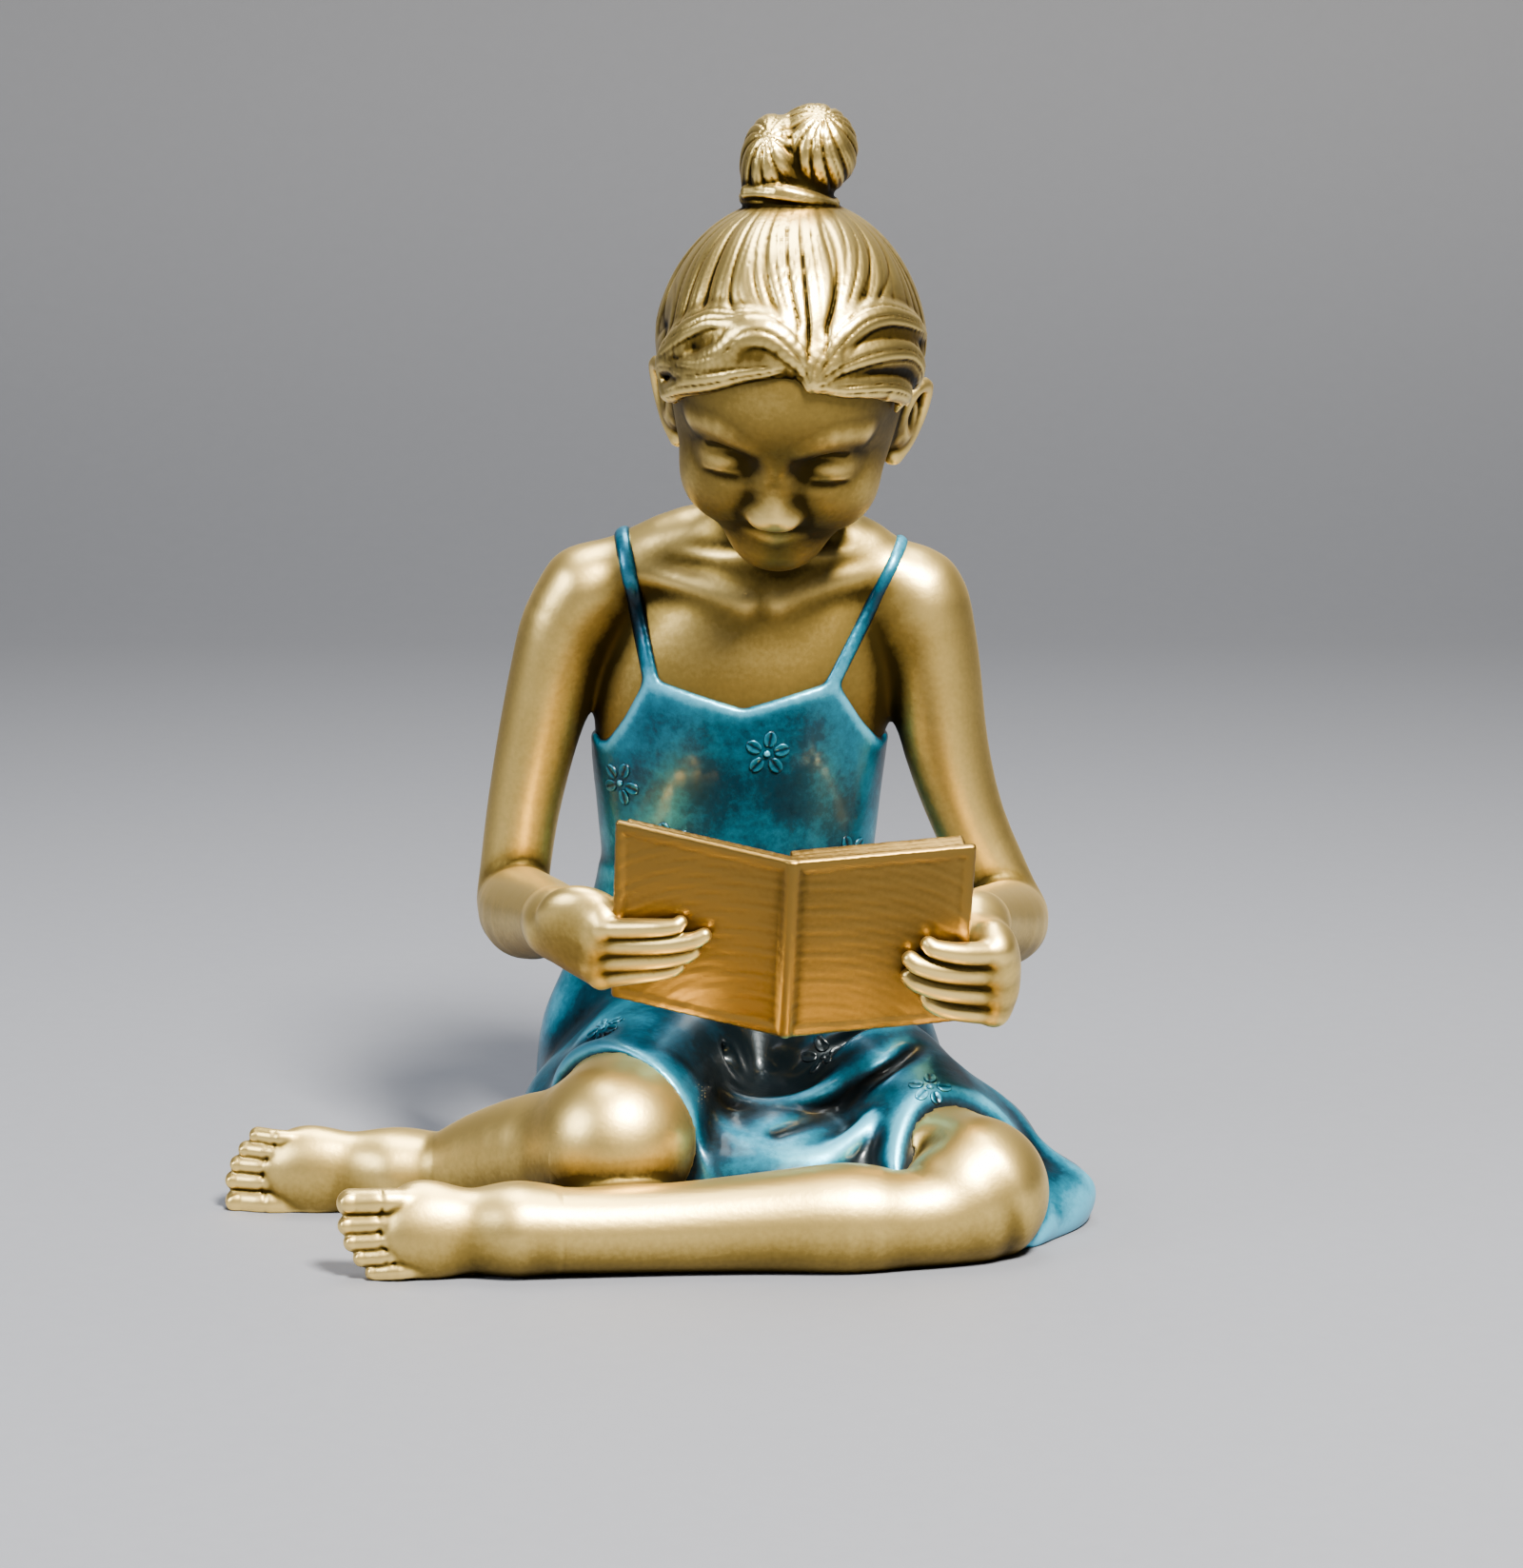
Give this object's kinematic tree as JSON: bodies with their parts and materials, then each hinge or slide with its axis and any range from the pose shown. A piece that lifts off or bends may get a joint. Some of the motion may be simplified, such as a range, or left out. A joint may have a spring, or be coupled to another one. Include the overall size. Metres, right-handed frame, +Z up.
{
  "type": "figurine of a seated child reading a book",
  "caption": "Small brass-coloured cast figurine of a seated child with a hair bun who reads an open book, in a teal patinated strap dress.",
  "frame": {"origin": "on the ground, under the middle of the figure's bounding box", "axes": "+Z up, -Y the way the child faces, +X towards the child's left hand"},
  "size_m": [0.1427, 0.1092, 0.1799],
  "materials": {
    "gilt_brass": "cast, satin gilt with dark wash in the recesses",
    "teal_patina": "glossy teal patina lacquer"
  },
  "bodies": {
    "root": {"reading_child": "gilt_brass"}
  },
  "joints": []
}
